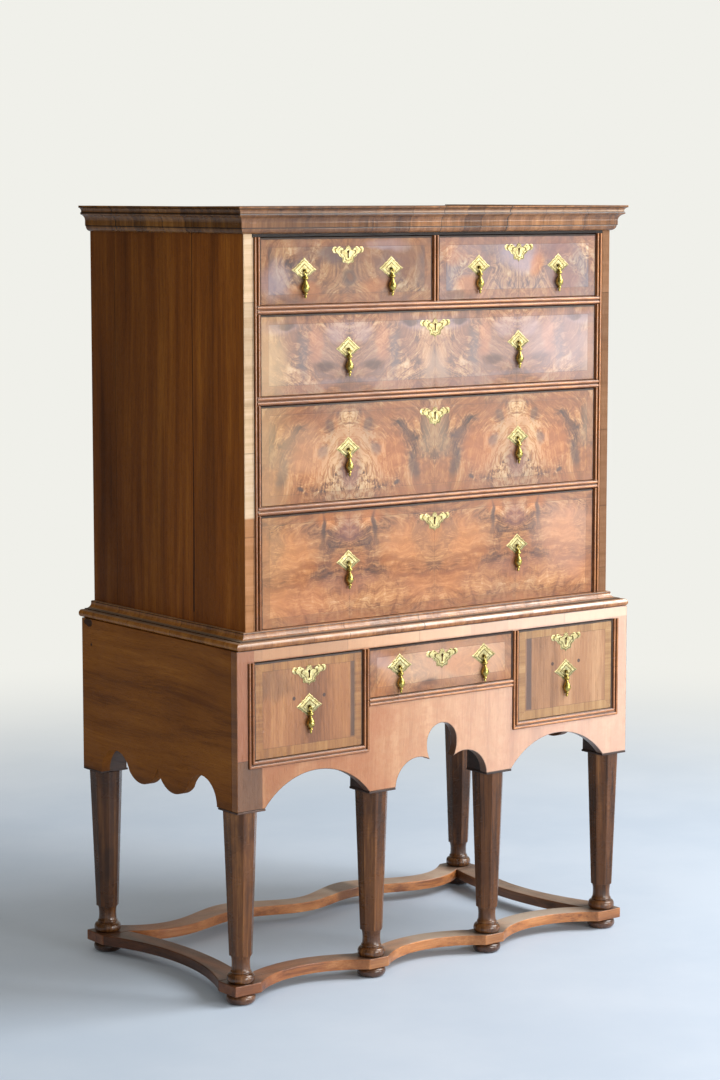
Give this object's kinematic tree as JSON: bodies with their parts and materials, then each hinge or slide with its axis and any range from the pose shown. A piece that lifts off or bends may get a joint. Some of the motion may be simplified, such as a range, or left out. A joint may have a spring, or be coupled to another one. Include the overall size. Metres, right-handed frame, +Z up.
{
  "type": "chest on stand",
  "caption": "Tall walnut chest of drawers on a shaped-apron stand with octagonal legs, a flat serpentine stretcher, bun feet and swinging brass drop pulls.",
  "frame": {"origin": "on the floor, under the middle of the whole object's bounding box", "axes": "+X to the right of someone facing the drawers, -Y out of the front, +Z up"},
  "size_m": [1, 0.5782, 1.53],
  "materials": {
    "side_wood": "waxed straight-grained walnut with old scratches",
    "stand_side_wood": "waxed walnut with faint cross figure",
    "crossbanded_wood": "cross-banded walnut, worn and sun-bleached",
    "bead_wood": "polished double half-round beading",
    "cornice_wood": "cross-grained moulding, joints and old polish",
    "apron_wood": "waxed walnut veneer",
    "figured_veneer": "book-matched burr and figured walnut veneer",
    "stand_veneer": "walnut veneer with cross-banded edges",
    "leg_wood": "dark polished walnut, worn on the edges",
    "cap_wood": "dark stained walnut",
    "stretcher_wood": "waxed walnut veneer, worn on the top",
    "hidden_wood": "dry unpolished pine and oak, dusty",
    "drawer_lining": "dry unpolished oak",
    "plate_brass": "bright worn engraved sheet brass",
    "drop_brass": "cast brass, dark in the hollows"
  },
  "bodies": {
    "case": {"upper_left_side": "side_wood", "upper_right_side": "side_wood", "upper_top_board": "hidden_wood", "upper_bottom_board": "hidden_wood", "upper_back_boards": "hidden_wood", "upper_front_frame": "crossbanded_wood", "upper_beading": "bead_wood", "cornice_moulding": "cornice_wood", "waist_moulding": "cornice_wood", "stand_front_frame": "apron_wood", "stand_left_side": "stand_side_wood", "stand_right_side": "stand_side_wood", "stand_back_board": "hidden_wood", "stand_top_board": "hidden_wood", "stand_beading": "bead_wood", "drawer_runners": "hidden_wood", "leg_blocks": "cap_wood", "legs": "leg_wood", "front_stretcher": "stretcher_wood", "back_stretcher": "stretcher_wood", "side_stretchers": "stretcher_wood", "bun_feet": "leg_wood"},
    "small_left_drawer": {"small_left_drawer_front": "figured_veneer", "small_left_drawer_box": "drawer_lining", "small_left_drawer_brasses": "plate_brass"},
    "small_right_drawer": {"small_right_drawer_front": "figured_veneer", "small_right_drawer_box": "drawer_lining", "small_right_drawer_brasses": "plate_brass"},
    "second_drawer": {"second_drawer_front": "figured_veneer", "second_drawer_box": "drawer_lining", "second_drawer_brasses": "plate_brass"},
    "third_drawer": {"third_drawer_front": "figured_veneer", "third_drawer_box": "drawer_lining", "third_drawer_brasses": "plate_brass"},
    "fourth_drawer": {"fourth_drawer_front": "figured_veneer", "fourth_drawer_box": "drawer_lining", "fourth_drawer_brasses": "plate_brass"},
    "stand_left_drawer": {"stand_left_drawer_front": "stand_veneer", "stand_left_drawer_box": "drawer_lining", "stand_left_drawer_brasses": "plate_brass"},
    "stand_middle_drawer": {"stand_middle_drawer_front": "stand_veneer", "stand_middle_drawer_box": "drawer_lining", "stand_middle_drawer_brasses": "plate_brass"},
    "stand_right_drawer": {"stand_right_drawer_front": "stand_veneer", "stand_right_drawer_box": "drawer_lining", "stand_right_drawer_brasses": "plate_brass"},
    "small_left_drawer_left_drop": {"small_left_drawer_left_drop": "drop_brass"},
    "small_left_drawer_right_drop": {"small_left_drawer_right_drop": "drop_brass"},
    "small_right_drawer_left_drop": {"small_right_drawer_left_drop": "drop_brass"},
    "small_right_drawer_right_drop": {"small_right_drawer_right_drop": "drop_brass"},
    "second_drawer_left_drop": {"second_drawer_left_drop": "drop_brass"},
    "second_drawer_right_drop": {"second_drawer_right_drop": "drop_brass"},
    "third_drawer_left_drop": {"third_drawer_left_drop": "drop_brass"},
    "third_drawer_right_drop": {"third_drawer_right_drop": "drop_brass"},
    "fourth_drawer_left_drop": {"fourth_drawer_left_drop": "drop_brass"},
    "fourth_drawer_right_drop": {"fourth_drawer_right_drop": "drop_brass"},
    "stand_left_drawer_drop": {"stand_left_drawer_drop": "drop_brass"},
    "stand_middle_drawer_left_drop": {"stand_middle_drawer_left_drop": "drop_brass"},
    "stand_middle_drawer_right_drop": {"stand_middle_drawer_right_drop": "drop_brass"},
    "stand_right_drawer_drop": {"stand_right_drawer_drop": "drop_brass"}
  },
  "joints": [
    {"name": "small_left_drawer_slide", "type": "slide", "parent": "case", "child": "small_left_drawer", "axis": [0, -1, 0], "range_m": [0, 0.36]},
    {"name": "small_right_drawer_slide", "type": "slide", "parent": "case", "child": "small_right_drawer", "axis": [0, -1, 0], "range_m": [0, 0.36]},
    {"name": "second_drawer_slide", "type": "slide", "parent": "case", "child": "second_drawer", "axis": [0, -1, 0], "range_m": [0, 0.36]},
    {"name": "third_drawer_slide", "type": "slide", "parent": "case", "child": "third_drawer", "axis": [0, -1, 0], "range_m": [0, 0.36]},
    {"name": "fourth_drawer_slide", "type": "slide", "parent": "case", "child": "fourth_drawer", "axis": [0, -1, 0], "range_m": [0, 0.36]},
    {"name": "stand_left_drawer_slide", "type": "slide", "parent": "case", "child": "stand_left_drawer", "axis": [0, -1, 0], "range_m": [0, 0.36]},
    {"name": "stand_middle_drawer_slide", "type": "slide", "parent": "case", "child": "stand_middle_drawer", "axis": [0, -1, 0], "range_m": [0, 0.36]},
    {"name": "stand_right_drawer_slide", "type": "slide", "parent": "case", "child": "stand_right_drawer", "axis": [0, -1, 0], "range_m": [0, 0.36]},
    {"name": "small_left_drawer_left_drop_swing", "type": "hinge", "parent": "small_left_drawer", "child": "small_left_drawer_left_drop", "pos_m": [-0.321, -0.2557, 1.408], "axis": [-1, 0, 0], "range_deg": [0, 150]},
    {"name": "small_left_drawer_right_drop_swing", "type": "hinge", "parent": "small_left_drawer", "child": "small_left_drawer_right_drop", "pos_m": [-0.111, -0.2557, 1.408], "axis": [-1, 0, 0], "range_deg": [0, 150]},
    {"name": "small_right_drawer_left_drop_swing", "type": "hinge", "parent": "small_right_drawer", "child": "small_right_drawer_left_drop", "pos_m": [0.111, -0.2557, 1.408], "axis": [-1, 0, 0], "range_deg": [0, 150]},
    {"name": "small_right_drawer_right_drop_swing", "type": "hinge", "parent": "small_right_drawer", "child": "small_right_drawer_right_drop", "pos_m": [0.321, -0.2557, 1.408], "axis": [-1, 0, 0], "range_deg": [0, 150]},
    {"name": "second_drawer_left_drop_swing", "type": "hinge", "parent": "second_drawer", "child": "second_drawer_left_drop", "pos_m": [-0.216, -0.2557, 1.255], "axis": [-1, 0, 0], "range_deg": [0, 150]},
    {"name": "second_drawer_right_drop_swing", "type": "hinge", "parent": "second_drawer", "child": "second_drawer_right_drop", "pos_m": [0.216, -0.2557, 1.255], "axis": [-1, 0, 0], "range_deg": [0, 150]},
    {"name": "third_drawer_left_drop_swing", "type": "hinge", "parent": "third_drawer", "child": "third_drawer_left_drop", "pos_m": [-0.216, -0.2557, 1.061], "axis": [-1, 0, 0], "range_deg": [0, 150]},
    {"name": "third_drawer_right_drop_swing", "type": "hinge", "parent": "third_drawer", "child": "third_drawer_right_drop", "pos_m": [0.216, -0.2557, 1.061], "axis": [-1, 0, 0], "range_deg": [0, 150]},
    {"name": "fourth_drawer_left_drop_swing", "type": "hinge", "parent": "fourth_drawer", "child": "fourth_drawer_left_drop", "pos_m": [-0.216, -0.2557, 0.84], "axis": [-1, 0, 0], "range_deg": [0, 150]},
    {"name": "fourth_drawer_right_drop_swing", "type": "hinge", "parent": "fourth_drawer", "child": "fourth_drawer_right_drop", "pos_m": [0.216, -0.2557, 0.84], "axis": [-1, 0, 0], "range_deg": [0, 150]},
    {"name": "stand_left_drawer_drop_swing", "type": "hinge", "parent": "stand_left_drawer", "child": "stand_left_drawer_drop", "pos_m": [-0.3295, -0.2809, 0.571], "axis": [-1, 0, 0], "range_deg": [0, 150]},
    {"name": "stand_middle_drawer_left_drop_swing", "type": "hinge", "parent": "stand_middle_drawer", "child": "stand_middle_drawer_left_drop", "pos_m": [-0.108, -0.2809, 0.626], "axis": [-1, 0, 0], "range_deg": [0, 150]},
    {"name": "stand_middle_drawer_right_drop_swing", "type": "hinge", "parent": "stand_middle_drawer", "child": "stand_middle_drawer_right_drop", "pos_m": [0.108, -0.2809, 0.626], "axis": [-1, 0, 0], "range_deg": [0, 150]},
    {"name": "stand_right_drawer_drop_swing", "type": "hinge", "parent": "stand_right_drawer", "child": "stand_right_drawer_drop", "pos_m": [0.3295, -0.2809, 0.571], "axis": [-1, 0, 0], "range_deg": [0, 150]}
  ]
}
